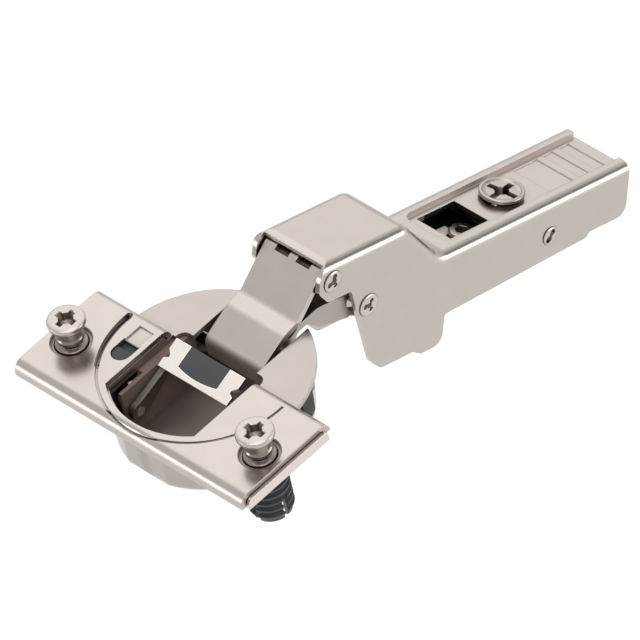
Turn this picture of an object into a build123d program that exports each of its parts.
"""A concealed cup hinge for cabinet doors, fully open, in millimetres.

The origin is on the axis of the cup, on the face of the door. X points to the arm,
Y along the row of fixing screws, and Z out of the door.
"""
import os
from math import atan2, cos, degrees, hypot, radians, sin, sqrt

from build123d import *

# Cup
CUP_RADIUS = 17.4
CUP_WALL = 0.8
CUP_DEPTH = 11.2
CUP_EDGE = 2.4
CUP_FLAT = 16.8
RIM_RADIUS = 19.1
RIM_SHEET = 1.0
LINK_SLOT_HALF = 7.6
LINK_SLOT_DEPTH = 4.2

# Fixing wings and their cover
SCREW_SPACING = 45.0
SCREW_LINE = -9.5
WING_MARGIN = 1.1
WING_THICK = 2.05
COVER_MARGIN = 0.8
COVER_FRONT = -19.2
COVER_BACK = 2.6
COVER_HEIGHT = 3.2
COVER_SHEET = 1.0
COVER_BEND = 2.1
COVER_LIFT = 0.35
MOUTH_HALF_WIDTH = 10.6
MOUTH_RADIUS = 17.0
THROAT_HALF_WIDTH = 10.0
THROAT_BACK = 4.8
THROAT_BEND = 1.6
HOLE_RADIUS = 3.8
WING_HOLE_RADIUS = 4.2
ARC_RADIUS = 18.45
ARC_WIDTH = 0.5
ARC_DEPTH = 0.35

# Switch that turns the soft-close off
WINDOW_FRONT = -8.3
WINDOW_BACK = -3.7
WINDOW_LOW = 11.5
WINDOW_HIGH = 15.3
SWITCH_TRAVEL = 1.8
SWITCH_KNOB_TOP = 3.0
TAB_LENGTH = 3.6

# Fixing screws and dowels
SCREW_HEAD_RADIUS = 3.45
SCREW_HEAD_TOP = 8.8
SCREW_HEAD_EDGE = 1.3
SCREW_POST_RADIUS = 2.3
SCREW_TIP = -9.4
SCREW_CROSS_WIDTH = 0.95
SCREW_CROSS_SPAN = 4.0
SCREW_CROSS_DEPTH = 1.7
SCREW_CROSS_TURN = 25.0
SCREW_NECK = 1.0
DOWEL_RADIUS = 3.7
DOWEL_RIB = 0.35
DOWEL_RIB_PITCH = 2.2
DOWEL_RIB_HEIGHT = 1.3
DOWEL_DEPTH = 11.0
DOWEL_SLOT = 1.0

# Pivots of the links, in the plane across the cup
OUTER_PIVOT = (8.4, -3.8)
INNER_PIVOT = (12.6, -1.5)
CUP_PIN_RADIUS = 1.1
NOSE_PIVOT = (24.55, 6.7)
HEEL_PIVOT = (30.85, -4.65)
ARM_PIN_RADIUS = 1.15
EYE_WALL = 1.05

# Outer link, a folded strip
OUTER_HALF_WIDTH = 6.7
OUTER_SHEET = 1.1
OUTER_KNEE = (16.3, 3.05)
OUTER_STEP = (12.7, 2.45)
OUTER_LIP = -0.55
OUTER_BENDS = (2.5, 2.0, 1.0)
KNUCKLE_GAP = 3.2
KNUCKLE_WIDTH = 1.8

# Inner link, a channel
INNER_HALF_WIDTH = 6.2
INNER_SHEET = 1.2
INNER_ARCH = (16.4, 0.1)
INNER_BROW = (18.7, 0.1)
INNER_NECK = (17.0, 1.45)
INNER_WAIST = (21.2, -2.8)
INNER_HEEL = (27.6, -6.0)
INNER_SHOULDER = (21.5, 1.6)
INNER_BENDS = (1.0, 1.2, 4.0, 5.0, 3.0)
HEEL_SLOT_HALF = 1.8
HEEL_SLOT_PLAY = 0.75
HEEL_SLOT_WALL = 2.6
HEEL_SLOT_SHIFT = 0.15
HEEL_SLOT_ANGLE = 36.0
INNER_TURN = 143.2

# Soft-close lever and damper
LEVER_PIVOT = (-10.0, -4.4)
PLATE_FRONT = (-3.5, 0.6)
PLATE_LENGTH = 5.7
PLATE_TILT = 22.0
PLATE_HALF_WIDTH = 8.2
PLATE_SHEET = 1.0
PAD_HALF_WIDTH = 4.6
PAD_FRONT = 1.6
PAD_THICK = 1.9
PAD_BOW = 0.6
NOTCH_START = 1.7
NOTCH_DEPTH = 0.9
LEVER_SEAT_FRONT = 0.4
LEVER_SEAT_BACK = 3.6
LEVER_BOSS = 1.9
LEVER_PIN_RADIUS = 0.9
CRANK_HIGH = 11.1
CRANK_THICK = 1.2
CRANK_HALF = 1.4
CRANK_REACH = 2.1
HOUSING_FACE = 8.9
HOUSING_BACK = 6.0
DAMPER_FRONT = -5.9
DAMPER_RADIUS = 1.9
DAMPER_ROD = 0.9
DAMPER_BUTTON = 1.5
DAMPER_LINE = (11.9, -2.9)
DAMPER_STROKE = 1.2

# Arm, in its own frame: along it, and up from it
ARM_SLOPE = 19.2
ARM_HALF_WIDTH = 8.05
ARM_SHEET = 1.0
HEAD_BEND = 1.9
HEAD_TOP = 18.0
HEAD_FRONT = 19.5
HEAD_BACK = 39.2
REAR_FRONT = 48.6
REAR_TOP = 8.3
REAR_LENGTH = 47.4
DOGLEG_BENDS = (4.0, 3.0)
NOSE_RADIUS = 3.1
CHIN_UP = 10.3
CHIN_WIDTH = 0.6
CHIN_BACK = 26.1
CHIN_BEND = 0.9
SKIRT_FRONT = (32.6, -6.6)
SKIRT_RISE = 2.6
SKIRT_STEP = 43.2
SKIRT_STEP_UP = -9.0
SKIRT_UP = -10.2
SKIRT_BACK = 50.6
SKIRT_BEND = 2.2
REAR_FOOT = -4.3
REAR_STEP_LENGTH = 9.4
REAR_FOOT_END = -2.9
PANEL_DROP = 0.9
PANEL_HALF_WIDTH = 5.4
PANEL_INSET = 4.0
WINDOW_INSET = 2.4
DEPTH_WINDOW_LENGTH = 9.4
DEPTH_WINDOW_HALF = 4.1
GRIP_INSET = 3.1
GRIP_LENGTHS = (6.0, 2.5, 2.5)
GRIP_SPACE = 1.5
GRIP_HALF = 4.4
GRIP_DEPTH = 0.18

# Rivets of the arm, and the closing spring in its head
RIVET_PROUD = 0.4
RIVET_DOME = 0.28
NOSE_RIVET = 2.1
HEEL_RIVET = 2.3
REAR_RIVET = 1.9
REAR_PIN_SETBACK = 4.4
REAR_PIN_UP = 1.4
REAR_PIN_RADIUS = 1.2
SPRING_LEAF = 0.7
SPRING_HALF = 4.0
SPRING_HOOK = 3.4

# Carriage and adjusting screws
CARRIAGE_INSET = 0.2
CARRIAGE_LENGTH = 38.2
CARRIAGE_DROP = 1.3
CARRIAGE_DIP = 1.7
DIP_RAMP = 1.4
CARRIAGE_FOOT = -3.0
CARRIAGE_SHEET = 1.2
CARRIAGE_HOOK = 2.0
SIDE_SCREW_SETBACK = 9.6
SIDE_SCREW_HEAD = 4.08
SIDE_SCREW_SHANK = 2.2
SIDE_HEAD_HEIGHT = 1.0
SIDE_CROSS_SPAN = 5.6
SIDE_CROSS_WIDTH = 1.5
SIDE_CROSS_TURN = 45.0
DEPTH_CAM_INSET = 2.0
DEPTH_CAM_RADIUS = 2.4
DEPTH_CAM_HEIGHT = 0.9
DEPTH_TRAVEL = 1.5
CAM_STEM = 1.5
CAM_FOOT = 2.6
CAM_FOOT_HEIGHT = 0.8
CAM_SOCKET = 1.3

# Snap catch
CATCH_HALF_WIDTH = 5.0
CATCH_EYE = 1.9
CATCH_INSET = 1.0
CATCH_NECK = 5.5
CATCH_TAB = 1.2
CATCH_SHEET = 1.3
CATCH_HOOK = 5.4
CATCH_HOOK_BACK = 11.0
CATCH_BENDS = (2.0, 0.8, 0.5, 0.4)
SPRING_WIRE = 0.5
SPRING_COILS = 5
SPRING_PITCH = 0.6

# Clearances
RUNNING = 0.05
PRESS = 0.02
SLIDING = 0.15
GAP = 0.3
BEYOND = 40.0

SCREW_PLACES = (-SCREW_SPACING / 2, SCREW_SPACING / 2)
WING_HALF_LENGTH = SCREW_SPACING / 2 + WING_HOLE_RADIUS + WING_MARGIN
COVER_HALF_LENGTH = SCREW_SPACING / 2 + HOLE_RADIUS + COVER_MARGIN
FLOOR_TOP = -CUP_DEPTH + CUP_WALL
CUP_INSIDE = CUP_RADIUS - CUP_WALL
COVER_UNDERSIDE = COVER_HEIGHT - COVER_SHEET
WING_FRONT = COVER_FRONT + COVER_SHEET + SLIDING
WING_BACK = COVER_BACK - COVER_SHEET - SLIDING

# Places along the arm, each from the one before
PANEL_FRONT = REAR_FRONT + PANEL_INSET
DEPTH_WINDOW_FRONT = PANEL_FRONT + WINDOW_INSET
DEPTH_WINDOW_BACK = DEPTH_WINDOW_FRONT + DEPTH_WINDOW_LENGTH
DEPTH_CAM_ALONG = DEPTH_WINDOW_BACK - DEPTH_CAM_INSET
SIDE_SCREW_ALONG = DEPTH_CAM_ALONG + SIDE_SCREW_SETBACK
REAR_PIN = (SIDE_SCREW_ALONG + REAR_PIN_SETBACK, REAR_PIN_UP)
ARM_END = REAR_FRONT + REAR_LENGTH
REAR_STEP = ARM_END - REAR_STEP_LENGTH
CARRIAGE_FRONT = PANEL_FRONT + CARRIAGE_INSET
CARRIAGE_END = CARRIAGE_FRONT + CARRIAGE_LENGTH
DIP_BACK = DEPTH_CAM_ALONG + CAM_FOOT + DEPTH_TRAVEL + GAP
CATCH_TIP = ARM_END - CATCH_INSET


def outline(corners):
    """Close a plane outline through corners given as (x, z, fillet radius)."""
    points = [(x, z) for x, z, _ in corners]
    radii = [r for _, _, r in corners]
    return make_face(FilletPolyline(*points, radius=radii, close=True))


def slab(profile, low, high):
    """Extrude an outline of the X-Z plane from one Y to another."""
    return extrude(Plane.XZ.offset(-high) * profile, amount=high - low)


def cross_pin(centre, radius, low, high):
    """A round bar along Y through a point of the X-Z plane."""
    return Pos(centre[0], (low + high) / 2, centre[1]) * Rot(90, 0, 0) * Cylinder(radius, high - low)


def upright(x, y, radius, low, high):
    """A round bar along Z."""
    return Pos(x, y, (low + high) / 2) * Cylinder(radius, high - low)


def block(x_low, x_high, y_low, y_high, z_low, z_high):
    """A box given by its two corners."""
    centre = Pos((x_low + x_high) / 2, (y_low + y_high) / 2, (z_low + z_high) / 2)
    return centre * Box(x_high - x_low, y_high - y_low, z_high - z_low)


def arm_point(row_point):
    """Turn a point of the row's X-Z plane into the arm's along and up."""
    slope = radians(ARM_SLOPE)
    x, z = row_point
    return (x * cos(slope) - z * sin(slope), x * sin(slope) + z * cos(slope))


def on_arm(shape):
    """Tilt a shape that was made in the arm's frame to its place."""
    return Rot(0, ARM_SLOPE, 0) * shape


def chord(radius, offset):
    """Half the length of a circle's chord at an offset from its centre."""
    return sqrt(radius ** 2 - offset ** 2)


def mouth(radius, half_width, low, high):
    """The opening of the cup: an arc in front, straight sides, open to the back."""
    front = upright(0, 0, radius, low, high) & block(-BEYOND, 0, -half_width, half_width, low, high)
    return front + block(-GAP, COVER_BACK + GAP, -half_width, half_width, low, high)


def throat():
    """The way through rim and wall for the links, with a wider part at the mouth."""
    wide = block(0, THROAT_BACK, -THROAT_HALF_WIDTH, THROAT_HALF_WIDTH, 0, WING_THICK)
    wide = fillet(wide.edges().filter_by(Axis.Z).sort_by(Axis.X)[-2:], THROAT_BEND)
    half = LINK_SLOT_HALF
    return wide + block(0, RIM_RADIUS + GAP, -half, half, -LINK_SLOT_DEPTH, WING_THICK)


def bowl(radius, flat, low, high, edge):
    """A round bowl with one flat side and a rounded lower edge."""
    body = upright(0, 0, radius, low, high) & block(-flat, BEYOND, -BEYOND, BEYOND, low, high)
    return fillet(body.faces().sort_by(Axis.Z)[0].edges(), edge)


def cup():
    """The drawn cup with its rim and its two fixing wings."""
    outside = bowl(CUP_RADIUS, CUP_FLAT, -CUP_DEPTH, 0, CUP_EDGE)
    inside = bowl(CUP_INSIDE, CUP_FLAT - CUP_WALL, FLOOR_TOP, 0, CUP_EDGE - CUP_WALL)
    rim = upright(0, 0, RIM_RADIUS, 0, RIM_SHEET) & block(0, BEYOND, -BEYOND, BEYOND, 0, RIM_SHEET)
    wings = block(WING_FRONT, WING_BACK, -WING_HALF_LENGTH, WING_HALF_LENGTH, 0, WING_THICK)
    wings = fillet(wings.edges().filter_by(Axis.Y).group_by(Axis.Z)[-1], COVER_BEND - COVER_SHEET)
    body = outside + rim + wings - throat() - inside
    body -= mouth(CUP_INSIDE, MOUTH_HALF_WIDTH, -GAP, WING_THICK)
    for y in SCREW_PLACES:
        body -= upright(SCREW_LINE, y, WING_HOLE_RADIUS, 0, WING_THICK)
    for pivot in (OUTER_PIVOT, INNER_PIVOT):
        body -= cross_pin(pivot, CUP_PIN_RADIUS + PRESS, -BEYOND, BEYOND)
    return body - switch_pocket(0, WING_THICK)


def switch_pocket(low, high):
    """The pocket that the switch's foot slides in."""
    front = WINDOW_FRONT - SWITCH_TRAVEL - GAP
    back = WINDOW_BACK + SWITCH_TRAVEL + GAP
    return block(front, back, WINDOW_LOW - GAP, WINDOW_HIGH + GAP, low, high)


def cup_pin(pivot):
    """A pin through both sides of the cup, cut flush with its outside."""
    reach = chord(CUP_RADIUS, pivot[0] + CUP_PIN_RADIUS)
    return cross_pin(pivot, CUP_PIN_RADIUS, -reach, reach)


def cover_plate():
    """The sheet cover over the wings, with its long edges rolled down."""
    outer = outline([
        (COVER_FRONT, COVER_LIFT, 0),
        (COVER_BACK - COVER_SHEET, COVER_LIFT, 0),
        (COVER_BACK - COVER_SHEET, RIM_SHEET + RUNNING, 0),
        (COVER_BACK, RIM_SHEET + RUNNING, 0),
        (COVER_BACK, COVER_HEIGHT, COVER_BEND),
        (COVER_FRONT, COVER_HEIGHT, COVER_BEND),
    ])
    inner_bend = COVER_BEND - COVER_SHEET
    inner = outline([
        (COVER_FRONT + COVER_SHEET, 0, 0),
        (COVER_BACK - COVER_SHEET, 0, 0),
        (COVER_BACK - COVER_SHEET, COVER_UNDERSIDE, inner_bend),
        (COVER_FRONT + COVER_SHEET, COVER_UNDERSIDE, inner_bend),
    ])
    plate = slab(outer, -COVER_HALF_LENGTH, COVER_HALF_LENGTH)
    plate -= slab(inner, -BEYOND, BEYOND)
    plate -= mouth(MOUTH_RADIUS, MOUTH_HALF_WIDTH, 0, COVER_HEIGHT)
    for y in SCREW_PLACES:
        plate -= upright(SCREW_LINE, y, HOLE_RADIUS, 0, COVER_HEIGHT)
    groove_floor = COVER_HEIGHT - ARC_DEPTH
    ring = upright(0, 0, ARC_RADIUS + ARC_WIDTH / 2, groove_floor, COVER_HEIGHT)
    ring -= upright(0, 0, ARC_RADIUS - ARC_WIDTH / 2, groove_floor, COVER_HEIGHT)
    ring &= block(COVER_FRONT + COVER_BEND, COVER_BACK - COVER_BEND, -BEYOND, BEYOND, groove_floor, COVER_HEIGHT)
    plate -= ring
    plate -= switch_window()
    tab_low = WINDOW_LOW + ARC_WIDTH / 2
    tab_high = WINDOW_HIGH - ARC_WIDTH / 2
    tab = block(WINDOW_BACK, WINDOW_BACK + TAB_LENGTH, tab_low, tab_high, groove_floor, COVER_HEIGHT)
    return plate - tab


def switch_window():
    """The window in the cover, rounded at its front end."""
    half = (WINDOW_HIGH - WINDOW_LOW) / 2
    middle = (WINDOW_HIGH + WINDOW_LOW) / 2
    round_end = upright(WINDOW_FRONT + half, middle, half, 0, COVER_HEIGHT)
    return round_end + block(WINDOW_FRONT + half, WINDOW_BACK, WINDOW_LOW, WINDOW_HIGH, 0, COVER_HEIGHT)


def soft_close_switch():
    """The plastic slide: a foot under the cover and a knob in the window."""
    foot = block(
        WINDOW_FRONT - SWITCH_TRAVEL, WINDOW_BACK, WINDOW_LOW - SLIDING, WINDOW_HIGH + SLIDING,
        SLIDING, COVER_UNDERSIDE - SLIDING,
    )
    knob_length = WINDOW_BACK - WINDOW_FRONT - SWITCH_TRAVEL - 2 * SLIDING
    front = WINDOW_FRONT + SLIDING
    half = (WINDOW_HIGH - WINDOW_LOW) / 2 - SLIDING
    middle = (WINDOW_HIGH + WINDOW_LOW) / 2
    low = COVER_UNDERSIDE - GAP
    knob = upright(front + half, middle, half, low, SWITCH_KNOB_TOP)
    knob &= block(front, front + knob_length, WINDOW_LOW, WINDOW_HIGH, low, SWITCH_KNOB_TOP)
    return foot + knob


def fixing_screw(y):
    """A pan-headed fixing screw that stands up from its dowel."""
    head_low = SCREW_HEAD_TOP - SCREW_HEAD_EDGE
    head = upright(SCREW_LINE, y, SCREW_HEAD_RADIUS, head_low, SCREW_HEAD_TOP)
    head = fillet(head.edges().sort_by(Axis.Z)[-1], GAP)
    under = Pos(SCREW_LINE, y, head_low - SCREW_NECK / 2)
    under *= Cone(SCREW_POST_RADIUS, SCREW_HEAD_RADIUS - GAP, SCREW_NECK)
    post = upright(SCREW_LINE, y, SCREW_POST_RADIUS, SCREW_TIP, head_low)
    post = chamfer(post.edges().sort_by(Axis.Z)[0], SCREW_POST_RADIUS / 2)
    cross = block(
        -SCREW_CROSS_SPAN / 2, SCREW_CROSS_SPAN / 2, -SCREW_CROSS_WIDTH / 2, SCREW_CROSS_WIDTH / 2,
        SCREW_HEAD_TOP - SCREW_CROSS_DEPTH, SCREW_HEAD_TOP,
    )
    cross = cross + Rot(0, 0, 90) * cross
    return head + under + post - Pos(SCREW_LINE, y, 0) * Rot(0, 0, SCREW_CROSS_TURN) * cross


def dowel(y):
    """A ribbed expanding dowel, split at its lower end."""
    collar_radius = WING_HOLE_RADIUS - PRESS
    body = upright(SCREW_LINE, y, collar_radius, 0, WING_THICK - SLIDING)
    body += upright(SCREW_LINE, y, DOWEL_RADIUS, -DOWEL_DEPTH, 0)
    count = int((DOWEL_DEPTH - DOWEL_RIB_PITCH) / DOWEL_RIB_PITCH)
    for index in range(count):
        z = -DOWEL_RIB_PITCH * (index + 1)
        rib = Cone(DOWEL_RADIUS, DOWEL_RADIUS + DOWEL_RIB, DOWEL_RIB_HEIGHT)
        body += Pos(SCREW_LINE, y, z) * rib
    bottom = body.faces().sort_by(Axis.Z)[0].edges()
    body = chamfer(bottom, 2 * DOWEL_RIB)
    body -= upright(SCREW_LINE, y, SCREW_POST_RADIUS + SLIDING, -DOWEL_DEPTH, COVER_HEIGHT)
    slot = block(
        SCREW_LINE - BEYOND, SCREW_LINE + BEYOND, y - DOWEL_SLOT / 2, y + DOWEL_SLOT / 2,
        -DOWEL_DEPTH, -DOWEL_DEPTH / 2,
    )
    return body - slot


def outer_link():
    """The folded strip that shows between the cup and the arm, with two rolled eyes."""
    nose_eye = ARM_PIN_RADIUS + OUTER_SHEET
    cup_eye = CUP_PIN_RADIUS + EYE_WALL
    run = (NOSE_PIVOT[0] - OUTER_KNEE[0], NOSE_PIVOT[1] - OUTER_KNEE[1])
    length = chord(hypot(*run), nose_eye)
    lean = atan2(run[1], run[0]) + atan2(nose_eye, length)
    top = (OUTER_KNEE[0] + length * cos(lean), OUTER_KNEE[1] + length * sin(lean))
    foot = OUTER_PIVOT[0] - cup_eye
    face = [top, OUTER_KNEE, OUTER_STEP, (foot, OUTER_LIP), (foot, OUTER_PIVOT[1])]
    width = (-OUTER_HALF_WIDTH, OUTER_HALF_WIDTH)
    body = slab(band(face, OUTER_BENDS, OUTER_SHEET), *width)
    body += cross_pin(NOSE_PIVOT, nose_eye, *width)
    body += cross_pin(OUTER_PIVOT, cup_eye, *width)
    body -= cross_pin(NOSE_PIVOT, ARM_PIN_RADIUS + RUNNING, *width)
    body -= cross_pin(OUTER_PIVOT, CUP_PIN_RADIUS + RUNNING, *width)
    step = (KNUCKLE_WIDTH + KNUCKLE_GAP) / 2
    for y in (-step, step):
        gap = block(0, 2 * nose_eye, y - KNUCKLE_GAP / 2, y + KNUCKLE_GAP / 2, -nose_eye, nose_eye)
        body -= Pos(top[0], 0, top[1]) * Rot(0, -degrees(lean), 0) * gap
    return body


def shifted(line, distance):
    """Move an open line to its left and meet its stretches again."""
    stretches = []
    for (ax, az), (bx, bz) in zip(line, line[1:]):
        scale = distance / hypot(bx - ax, bz - az)
        dx, dz = -(bz - az) * scale, (bx - ax) * scale
        stretches.append(((ax + dx, az + dz), (bx + dx, bz + dz)))
    inner = [crossing(first, second) for first, second in zip(stretches, stretches[1:])]
    return [stretches[0][0]] + inner + [stretches[-1][1]]


def crossing(first, second):
    """Where two lines, each given by two points, cross."""
    (ax, az), (bx, bz) = first
    (cx, cz), (dx, dz) = second
    rx, rz = bx - ax, bz - az
    sx, sz = dx - cx, dz - cz
    share = ((cx - ax) * sz - (cz - az) * sx) / (rx * sz - rz * sx)
    return (ax + share * rx, az + share * rz)


def turns_left(first, corner, last):
    """True where a line turns left at a corner."""
    across = (corner[0] - first[0]) * (last[1] - corner[1]) - (corner[1] - first[1]) * (last[0] - corner[0])
    return across > 0


def band(line, bends, sheet):
    """A folded sheet seen from its edge: it lies on the left of a line, with round bends."""
    other = shifted(line, sheet)
    left = [turns_left(*line[i:i + 3]) for i in range(len(line) - 2)]
    right_radii = [bend + sheet * turn for bend, turn in zip(bends, left)]
    left_radii = [bend + sheet * (not turn) for bend, turn in zip(bends, left)]
    near = list(zip(line, [0, *right_radii, 0]))
    far = list(zip(other, [0, *left_radii, 0]))
    return outline([(x, z, radius) for (x, z), radius in near + far[::-1]])


def inner_link():
    """The channel behind the outer link; its slot leaves the arm's rear pin free."""
    eye = CUP_PIN_RADIUS + EYE_WALL
    top_of_eye = INNER_PIVOT[1] + eye
    cheek = outline([
        (INNER_PIVOT[0], INNER_PIVOT[1] - eye, 0),
        (*INNER_ARCH, INNER_BENDS[0]),
        (*INNER_BROW, INNER_BENDS[1]),
        (*INNER_WAIST, INNER_BENDS[2]),
        (*INNER_HEEL, 0),
        (HEEL_PIVOT[0], HEEL_PIVOT[1] + HEEL_SLOT_WALL, 0),
        (*INNER_SHOULDER, INNER_BENDS[3]),
        (*INNER_NECK, INNER_BENDS[4]),
        (INNER_PIVOT[0], top_of_eye, 0),
    ])
    width = (-INNER_HALF_WIDTH, INNER_HALF_WIDTH)
    body = slab(cheek, *width)
    body += cross_pin(INNER_PIVOT, eye, *width)
    slot_radius = ARM_PIN_RADIUS + HEEL_SLOT_PLAY
    body += heel_slot(slot_radius + EYE_WALL, *width)
    inside = (-INNER_HALF_WIDTH + INNER_SHEET, INNER_HALF_WIDTH - INNER_SHEET)
    hollow = [(x, z - INNER_SHEET) for x, z in (
        (INNER_PIVOT[0] - eye, top_of_eye),
        INNER_NECK,
        INNER_SHOULDER,
        (HEEL_PIVOT[0], HEEL_PIVOT[1] + HEEL_SLOT_WALL),
        (HEEL_PIVOT[0] + BEYOND / 2, HEEL_PIVOT[1]),
    )]
    low = HEEL_PIVOT[1] - BEYOND / 2
    corners = [(*point, 0) for point in hollow]
    corners += [(hollow[-1][0], low, 0), (hollow[0][0], low, 0)]
    body -= slab(outline(corners), *inside)
    body -= cross_pin(INNER_PIVOT, CUP_PIN_RADIUS + RUNNING, *width)
    body -= cross_pin(closed_outer_pivot(), CUP_PIN_RADIUS + EYE_WALL + GAP, *width)
    return body - heel_slot(slot_radius, *width)


def closed_outer_pivot():
    """Where the outer link's pivot lies, seen from the inner link when the door is closed."""
    reach = (OUTER_PIVOT[0] - INNER_PIVOT[0], OUTER_PIVOT[1] - INNER_PIVOT[1])
    heading = atan2(reach[1], reach[0]) - radians(INNER_TURN)
    length = hypot(*reach)
    return (INNER_PIVOT[0] + length * cos(heading), INNER_PIVOT[1] + length * sin(heading))


def heel_slot(radius, low, high):
    """A bar with two round ends round the slot's place, slanted along the pin's path."""
    middle = (HEEL_PIVOT[0] + HEEL_SLOT_SHIFT, HEEL_PIVOT[1] + HEEL_SLOT_SHIFT)
    bar = block(-HEEL_SLOT_HALF, HEEL_SLOT_HALF, low, high, -radius, radius)
    for end in (-HEEL_SLOT_HALF, HEEL_SLOT_HALF):
        bar += cross_pin((end, 0), radius, low, high)
    return Pos(middle[0], 0, middle[1]) * Rot(0, HEEL_SLOT_ANGLE, 0) * bar


def plate_plane():
    """The upper face of the soft-close plate: X runs back along it, Z out of it."""
    tilt = radians(PLATE_TILT)
    return Plane(
        origin=(PLATE_FRONT[0], 0, PLATE_FRONT[1]),
        x_dir=(cos(tilt), 0, sin(tilt)),
        z_dir=(-sin(tilt), 0, cos(tilt)),
    )


def pad_outline(margin):
    """The pad's plan: straight sides and a bowed front edge."""
    half = PAD_HALF_WIDTH - margin
    front = PAD_FRONT + margin
    bow = ThreePointArc((front, -half), (front - PAD_BOW, 0), (front, half))
    back = PLATE_LENGTH
    sides = Polyline((front, half), (back, half), (back, -half), (front, -half))
    return make_face([bow, sides])


def soft_close_plate():
    """The bright forked plate that the outer link presses as the door closes."""
    half = PLATE_HALF_WIDTH
    plan = Pos(PLATE_LENGTH / 2, 0) * Rectangle(PLATE_LENGTH, 2 * half)
    plan -= pad_outline(0)
    for side in (-1, 1):
        notch = Polyline(
            (NOTCH_START, side * half),
            (NOTCH_START + NOTCH_DEPTH / 2, side * (half - NOTCH_DEPTH)),
            (NOTCH_START + NOTCH_DEPTH, side * (half - NOTCH_DEPTH)),
            (NOTCH_START + 2 * NOTCH_DEPTH, side * half),
            close=True,
        )
        plan -= make_face(notch)
    return extrude(plate_plane() * plan, amount=-PLATE_SHEET)


def soft_close_pad():
    """The plastic pad in the fork, flush with the plate."""
    return extrude(plate_plane() * pad_outline(RUNNING), amount=-PAD_THICK)


def lever_frame_point(back, down):
    """A point of the X-Z plane given along the plate and below its face."""
    tilt = radians(PLATE_TILT)
    x = PLATE_FRONT[0] + back * cos(tilt) + down * sin(tilt)
    return (x, PLATE_FRONT[1] + back * sin(tilt) - down * cos(tilt))


def lever_arm():
    """The moulded arm that carries plate and pad, beside the outer link."""
    low = OUTER_HALF_WIDTH + GAP
    high = PLATE_HALF_WIDTH
    front = lever_frame_point(LEVER_SEAT_FRONT, PLATE_SHEET)
    back = lever_frame_point(LEVER_SEAT_BACK, PLATE_SHEET)
    root = LEVER_BOSS * sqrt(0.5)
    blade = outline([
        (*front, 0),
        (*back, 0),
        (back[0], back[1] - PLATE_SHEET, 0),
        (LEVER_PIVOT[0] + root, LEVER_PIVOT[1] - root, 0),
        (LEVER_PIVOT[0] - root, LEVER_PIVOT[1] + root, 0),
    ])
    body = slab(blade, low, high) + cross_pin(LEVER_PIVOT, LEVER_BOSS, low, high)
    shelf_low = lever_frame_point(PAD_FRONT, PAD_THICK)
    shelf_high = lever_frame_point(PLATE_LENGTH - PAD_THICK, PAD_THICK)
    shelf = outline([
        (*shelf_low, 0),
        (*shelf_high, 0),
        (shelf_high[0], shelf_high[1] - PLATE_SHEET, 0),
        (shelf_low[0], shelf_low[1] - PLATE_SHEET, 0),
    ])
    body += slab(shelf, -PAD_HALF_WIDTH, high)
    return body - cross_pin(LEVER_PIVOT, LEVER_PIN_RADIUS + PRESS, low, high)


def lever_pin():
    """The pin that turns with the lever in the housing's wall."""
    low = OUTER_HALF_WIDTH + GAP
    return cross_pin(LEVER_PIVOT, LEVER_PIN_RADIUS, low, CRANK_HIGH)


def damper_crank():
    """The short finger on the pin's far end that pushes the damper's rod."""
    low = CRANK_HIGH - CRANK_THICK
    x, z = LEVER_PIVOT
    finger = block(x - CRANK_HALF, x + CRANK_HALF, low, CRANK_HIGH, z, z + CRANK_REACH)
    finger = fillet(finger.edges().filter_by(Axis.Y).sort_by(Axis.Z)[-2:], CRANK_HALF / 2)
    body = finger + cross_pin(LEVER_PIVOT, CRANK_HALF, low, CRANK_HIGH)
    return body - cross_pin(LEVER_PIVOT, LEVER_PIN_RADIUS + PRESS, low, CRANK_HIGH)


def damper_housing():
    """The moulded block along the side of the cup that holds the damper."""
    margin = SLIDING
    body = bowl(CUP_INSIDE - margin, CUP_FLAT - CUP_WALL - margin, FLOOR_TOP, 0, CUP_EDGE - CUP_WALL)
    front = LEVER_PIVOT[0] - LEVER_BOSS
    body &= block(front, HOUSING_BACK, HOUSING_FACE, BEYOND, FLOOR_TOP, 0)
    pocket_low = CRANK_HIGH - CRANK_THICK - GAP
    pocket_back = DAMPER_FRONT
    body -= block(front, pocket_back, pocket_low, BEYOND, FLOOR_TOP + GAP, 0)
    body -= cross_pin(LEVER_PIVOT, LEVER_PIN_RADIUS + RUNNING, HOUSING_FACE, pocket_low)
    return body - damper_bar(DAMPER_RADIUS + PRESS, DAMPER_FRONT, HOUSING_BACK)


def damper_bar(radius, low, high):
    """A round bar along the damper's own line."""
    middle = Pos((low + high) / 2, DAMPER_LINE[0], DAMPER_LINE[1])
    return middle * Rot(0, 90, 0) * Cylinder(radius, high - low)


def damper_cylinder():
    """The damper's tube, closed at the back."""
    tube = damper_bar(DAMPER_RADIUS, DAMPER_FRONT, HOUSING_BACK)
    return tube - damper_bar(DAMPER_ROD + RUNNING, DAMPER_FRONT, HOUSING_BACK - CUP_WALL)


def damper_rod():
    """The damper's rod with the button that the crank pushes."""
    front = LEVER_PIVOT[0] + CRANK_HALF + GAP
    button = damper_bar(DAMPER_BUTTON, front, front + CUP_WALL)
    return button + damper_bar(DAMPER_ROD, front, HOUSING_BACK - CUP_WALL - DAMPER_STROKE - GAP)


def top_line():
    """The arm's upper side from its end to its nose: rear, dogleg and head."""
    nose = arm_point(NOSE_PIVOT)[0] - NOSE_RADIUS
    return [(ARM_END, REAR_TOP), (REAR_FRONT, REAR_TOP), (HEAD_BACK, HEAD_TOP), (nose, HEAD_TOP)]


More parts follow.
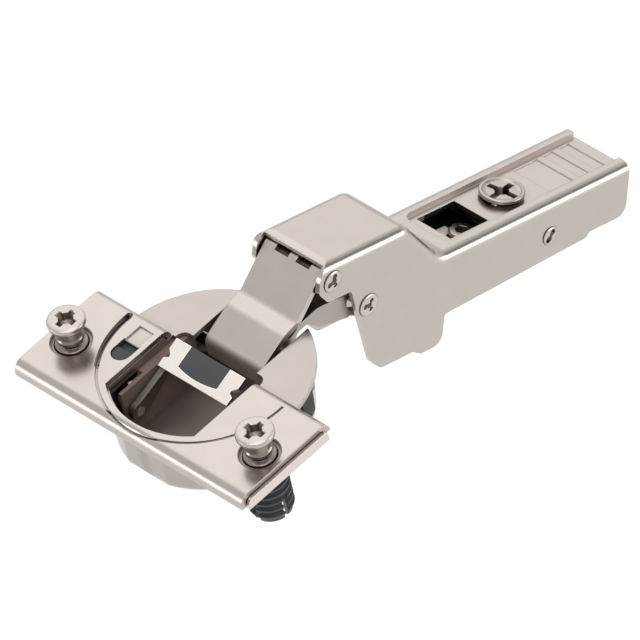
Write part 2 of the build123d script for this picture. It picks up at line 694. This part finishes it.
def under_line(line, half_width, bend):
    """All that lies under a line, with its two long upper edges rounded."""
    roof = [(x, z, radius) for (x, z), radius in zip(line, (0, *DOGLEG_BENDS, 0))]
    solid = slab(outline(roof + [(line[-1][0], -BEYOND, 0), (line[0][0], -BEYOND, 0)]), -half_width, half_width)
    path = FilletPolyline(*[(x, 0, z) for x, z in line], radius=DOGLEG_BENDS)

    def lies_on_top(edge):
        middle = edge @ 0.5
        at_side = abs(abs(middle.Y) - half_width) < RUNNING
        return at_side and path.distance_to(Vector(middle.X, 0, middle.Z)) < RUNNING

    return fillet([edge for edge in solid.edges() if lies_on_top(edge)], bend)


def arm_side():
    """The outline of the arm's cheeks, seen from the side."""
    nose = arm_point(NOSE_PIVOT)
    rear, dogleg, head, _ = top_line()
    corners = [
        (*rear, 0),
        (*dogleg, DOGLEG_BENDS[0]),
        (*head, DOGLEG_BENDS[1]),
        (nose[0] - NOSE_RADIUS, HEAD_TOP, NOSE_RADIUS),
        (nose[0] - NOSE_RADIUS, nose[1] - NOSE_RADIUS / 2, NOSE_RADIUS / 2),
        (nose[0] - CHIN_WIDTH, CHIN_UP, NOSE_RADIUS / 2),
        (CHIN_BACK, CHIN_UP, CHIN_BEND),
        (*SKIRT_FRONT, SKIRT_BEND),
        (SKIRT_FRONT[0] + SKIRT_RISE, SKIRT_STEP_UP, SKIRT_BEND),
        (SKIRT_STEP, SKIRT_STEP_UP, CHIN_BEND),
        (SKIRT_STEP + SKIRT_BEND, SKIRT_UP, CHIN_BEND),
        (SKIRT_BACK, SKIRT_UP, SKIRT_BEND),
        (SKIRT_BACK, REAR_FOOT, CHIN_BEND),
        (REAR_STEP, REAR_FOOT_END, CHIN_BEND),
        (REAR_STEP, REAR_FOOT_END + CHIN_BEND, CHIN_BEND / 3),
        (ARM_END, REAR_FOOT_END + CHIN_BEND, SKIRT_BEND),
    ]
    return outline(corners)


def arm_shell():
    """The pressed steel arm: a channel with a high head, a dogleg and a low rear."""
    line = top_line()
    half = ARM_HALF_WIDTH
    body = under_line(line, half, HEAD_BEND) & slab(arm_side(), -half, half)
    inner = shifted(line, ARM_SHEET)
    inner[0] = (ARM_END + BEYOND, panel_underside())
    inner[1] = crossing((inner[1], inner[2]), (inner[0], (0, panel_underside())))
    inner[-1] = (inner[-1][0] - BEYOND, inner[-1][1])
    corners = [(*point, 0) for point in inner]
    corners += [(inner[-1][0], -BEYOND, 0), (inner[0][0], -BEYOND, 0)]
    inside = half - ARM_SHEET
    body -= slab(outline(corners), -inside, inside)
    body -= block(-BEYOND, HEAD_FRONT, -inside, inside, 0, BEYOND)
    panel_top = REAR_TOP - PANEL_DROP
    recess = block(PANEL_FRONT, ARM_END, -PANEL_HALF_WIDTH, PANEL_HALF_WIDTH, panel_top, BEYOND)
    recess = fillet(recess.edges().filter_by(Axis.Z).sort_by(Axis.X)[:2], SKIRT_BEND)
    body -= recess
    window_half = DEPTH_WINDOW_HALF
    body -= block(DEPTH_WINDOW_FRONT, DEPTH_WINDOW_BACK, -window_half, window_half, 0, BEYOND)
    body -= slide_slot(SIDE_SCREW_ALONG, SIDE_SCREW_SHANK + GAP, 0, BEYOND)
    start = REAR_PIN[0] + GRIP_INSET
    for length in GRIP_LENGTHS:
        body -= block(start, start + length, -GRIP_HALF, GRIP_HALF, panel_top - GRIP_DEPTH, panel_top)
        start += length + GRIP_SPACE
    for pin, radius in arm_pins():
        body -= cross_pin(pin, radius + PRESS, -half, half)
    return on_arm(body)


def slide_slot(along, radius, low, high):
    """An upright slot in the arm's frame, as long as the depth adjustment needs."""
    slot = block(along - DEPTH_TRAVEL, along + DEPTH_TRAVEL, -radius, radius, low, high)
    for end in (-DEPTH_TRAVEL, DEPTH_TRAVEL):
        slot += upright(along + end, 0, radius, low, high)
    return slot


def panel_underside():
    """How far up the inside of the rear panel lies."""
    return REAR_TOP - PANEL_DROP - ARM_SHEET


def arm_pins():
    """The three pins of the arm, in its frame, with their radii."""
    return (
        (arm_point(NOSE_PIVOT), ARM_PIN_RADIUS),
        (arm_point(HEEL_PIVOT), ARM_PIN_RADIUS),
        (REAR_PIN, REAR_PIN_RADIUS),
    )


def rivet(centre, shank, head):
    """A pin across the arm with a low domed head at each end."""
    half = ARM_HALF_WIDTH
    body = cross_pin(centre, shank, -half, half)
    for side in (-1, 1):
        start, end = sorted((side * half, side * (half + RIVET_PROUD)))
        cap = cross_pin(centre, head, start, end)
        outer_edge = cap.edges().filter_by(GeomType.CIRCLE).sort_by(Axis.Y)[-1 if side > 0 else 0]
        body += fillet(outer_edge, RIVET_DOME)
    return on_arm(body)


def closing_spring():
    """The leaf under the head that pulls the hinge shut."""
    seat = shifted(top_line(), ARM_SHEET + GAP)
    front = arm_point(NOSE_PIVOT)[0] + ARM_PIN_RADIUS + OUTER_SHEET + 2 * GAP + SPRING_LEAF
    start = ((seat[1][0] + seat[2][0]) / 2, (seat[1][1] + seat[2][1]) / 2)
    line = [start, seat[2], (front, seat[3][1]), (front, seat[3][1] - SPRING_HOOK)]
    leaf = band(line, [DOGLEG_BENDS[1], SPRING_LEAF], SPRING_LEAF)
    return on_arm(slab(leaf, -SPRING_HALF, SPRING_HALF))


def carriage_top():
    """How far up the carriage's upper face lies."""
    return panel_underside() - CARRIAGE_DROP


def carriage():
    """The inner channel that hooks on the mounting plate and slides for depth."""
    top = carriage_top()
    half = ARM_HALF_WIDTH - ARM_SHEET - SLIDING
    dip = top - CARRIAGE_DIP
    side = outline([
        (CARRIAGE_FRONT, dip, CARRIAGE_SHEET),
        (DIP_BACK, dip, 0),
        (DIP_BACK + DIP_RAMP, top, 0),
        (CARRIAGE_END, top, 0),
        (CARRIAGE_END, CARRIAGE_FOOT + CARRIAGE_SHEET, CARRIAGE_SHEET),
        (CARRIAGE_END - CARRIAGE_HOOK, CARRIAGE_FOOT, CARRIAGE_SHEET),
        (CARRIAGE_FRONT + 2 * CARRIAGE_HOOK, CARRIAGE_FOOT, 0),
        (CARRIAGE_FRONT + 2 * CARRIAGE_HOOK, CARRIAGE_FOOT + CARRIAGE_HOOK, CARRIAGE_SHEET / 2),
        (CARRIAGE_FRONT + CARRIAGE_HOOK, CARRIAGE_FOOT + CARRIAGE_HOOK, CARRIAGE_SHEET / 2),
        (CARRIAGE_FRONT + CARRIAGE_HOOK, CARRIAGE_FOOT, 0),
        (CARRIAGE_FRONT, CARRIAGE_FOOT, CARRIAGE_SHEET),
    ])
    body = slab(side, -half, half)
    inside = half - CARRIAGE_SHEET
    web = top - CARRIAGE_SHEET
    body -= block(DIP_BACK + DIP_RAMP, CARRIAGE_END + GAP, -inside, inside, -BEYOND, web)
    body -= block(CARRIAGE_FRONT - GAP, DIP_BACK + DIP_RAMP, -inside, inside, -BEYOND, web - CARRIAGE_DIP)
    body -= upright(SIDE_SCREW_ALONG, 0, SIDE_SCREW_SHANK + RUNNING, web, top)
    body -= slide_slot(DEPTH_CAM_ALONG, CAM_STEM + SLIDING, web - CARRIAGE_DIP, dip)
    pin_slot = REAR_PIN_RADIUS + SLIDING
    for end in (-DEPTH_TRAVEL, DEPTH_TRAVEL):
        body -= cross_pin((REAR_PIN[0] + end, REAR_PIN[1]), pin_slot, -half, half)
    body -= block(
        REAR_PIN[0] - DEPTH_TRAVEL, REAR_PIN[0] + DEPTH_TRAVEL, -half, half,
        REAR_PIN[1] - pin_slot, REAR_PIN[1] + pin_slot,
    )
    return on_arm(body)


def depth_cam():
    """The cam under the arm's window: a socket head over the carriage and a foot under it."""
    web_top = carriage_top() - CARRIAGE_DIP
    web_low = web_top - CARRIAGE_SHEET
    head_low = web_top + RUNNING
    head_top = head_low + DEPTH_CAM_HEIGHT
    foot_top = web_low - RUNNING
    head = upright(DEPTH_CAM_ALONG, 0, DEPTH_CAM_RADIUS, head_low, head_top)
    head = fillet(head.edges().sort_by(Axis.Z)[-1], GAP)
    stem = upright(DEPTH_CAM_ALONG, 0, CAM_STEM, foot_top, head_low)
    foot = upright(DEPTH_CAM_ALONG, 0, CAM_FOOT, foot_top - CAM_FOOT_HEIGHT, foot_top)
    socket = RegularPolygon(CAM_SOCKET, 6)
    recess = Pos(DEPTH_CAM_ALONG, 0, web_low) * extrude(socket, amount=head_top - web_low)
    return on_arm(head + stem + foot - recess)


def cross_slot(span, width, low, high):
    """A cross-shaped driver recess about the Z axis."""
    bar = block(-span / 2, span / 2, -width / 2, width / 2, low, high)
    return bar + Rot(0, 0, 90) * bar


def side_screw():
    """The side adjusting screw, with a raised rim round its cross recess."""
    seat = REAR_TOP - PANEL_DROP + RUNNING
    rim_top = seat + SIDE_HEAD_HEIGHT
    head = upright(SIDE_SCREW_ALONG, 0, SIDE_SCREW_HEAD, seat, rim_top)
    head = fillet(head.edges().sort_by(Axis.Z)[-1], GAP)
    head -= upright(SIDE_SCREW_ALONG, 0, SIDE_SCREW_HEAD - 2 * GAP, rim_top - GAP, rim_top)
    shank_end = carriage_top() - CARRIAGE_SHEET - GAP
    body = head + upright(SIDE_SCREW_ALONG, 0, SIDE_SCREW_SHANK, shank_end, seat)
    cross = cross_slot(SIDE_CROSS_SPAN, SIDE_CROSS_WIDTH, seat - SIDE_HEAD_HEIGHT, rim_top)
    return on_arm(body - Pos(SIDE_SCREW_ALONG, 0, 0) * Rot(0, 0, SIDE_CROSS_TURN) * cross)


def snap_catch():
    """The sprung lever that snaps on the mounting plate, with a finger tab at the rear."""
    x, z = REAR_PIN
    lever = outline([
        (x, z + CATCH_EYE, 0),
        (x + CATCH_NECK, z + GAP, CATCH_BENDS[0]),
        (CATCH_TIP, z - CATCH_TAB, 0),
        (CATCH_TIP, z - CATCH_TAB - CATCH_SHEET, CATCH_BENDS[3]),
        (x + CATCH_HOOK_BACK, z - CATCH_TAB - CATCH_SHEET, CATCH_BENDS[1]),
        (x + CATCH_HOOK_BACK - CATCH_SHEET, z - CATCH_HOOK, CATCH_BENDS[2]),
        (x + CATCH_NECK + CATCH_SHEET, z - CATCH_HOOK, CATCH_BENDS[2]),
        (x + CATCH_NECK, z - CATCH_EYE, CATCH_BENDS[1]),
        (x, z - CATCH_EYE, 0),
    ])
    half = CATCH_HALF_WIDTH
    body = slab(lever, -half, half) + cross_pin(REAR_PIN, CATCH_EYE, -half, half)
    body -= cross_pin(REAR_PIN, REAR_PIN_RADIUS + RUNNING, -half, half)
    room = CATCH_EYE + SLIDING
    gap = SPRING_COILS * SPRING_PITCH / 2 + SPRING_WIRE
    body -= block(x - room, x + room, -gap, gap, z - room, z + room)
    return on_arm(body)


def catch_spring():
    """The small coil on the rear pin that holds the catch shut."""
    radius = REAR_PIN_RADIUS + RUNNING + SPRING_WIRE / 2
    height = SPRING_COILS * SPRING_PITCH
    path = Helix(SPRING_PITCH, height, radius)
    section = Plane(origin=path @ 0, z_dir=path % 0) * Circle(SPRING_WIRE / 2)
    coil = Pos(0, 0, -height / 2) * sweep(section, path)
    return on_arm(Pos(REAR_PIN[0], 0, REAR_PIN[1]) * Rot(90, 0, 0) * coil)


def main():
    """Build every piece and write it to its own file."""
    os.makedirs("parts", exist_ok=True)
    nose, heel = arm_point(NOSE_PIVOT), arm_point(HEEL_PIVOT)
    pieces = {
        "cup": cup(),
        "cover_plate": cover_plate(),
        "soft_close_switch": soft_close_switch(),
        "outer_cup_pin": cup_pin(OUTER_PIVOT),
        "inner_cup_pin": cup_pin(INNER_PIVOT),
        "outer_link": outer_link(),
        "inner_link": inner_link(),
        "soft_close_plate": soft_close_plate(),
        "soft_close_pad": soft_close_pad(),
        "lever_arm": lever_arm(),
        "lever_pin": lever_pin(),
        "damper_crank": damper_crank(),
        "damper_housing": damper_housing(),
        "damper_cylinder": damper_cylinder(),
        "damper_rod": damper_rod(),
        "arm_shell": arm_shell(),
        "nose_rivet": rivet(nose, ARM_PIN_RADIUS, NOSE_RIVET),
        "heel_rivet": rivet(heel, ARM_PIN_RADIUS, HEEL_RIVET),
        "rear_rivet": rivet(REAR_PIN, REAR_PIN_RADIUS, REAR_RIVET),
        "closing_spring": closing_spring(),
        "carriage": carriage(),
        "depth_cam": depth_cam(),
        "side_screw": side_screw(),
        "snap_catch": snap_catch(),
        "catch_spring": catch_spring(),
    }
    for side, y in zip(("right", "left"), SCREW_PLACES):
        pieces[f"{side}_screw"] = fixing_screw(y)
        pieces[f"{side}_dowel"] = dowel(y)
    for name, shape in pieces.items():
        export_step(shape, f"parts/{name}.step")


if __name__ == "__main__":
    main()
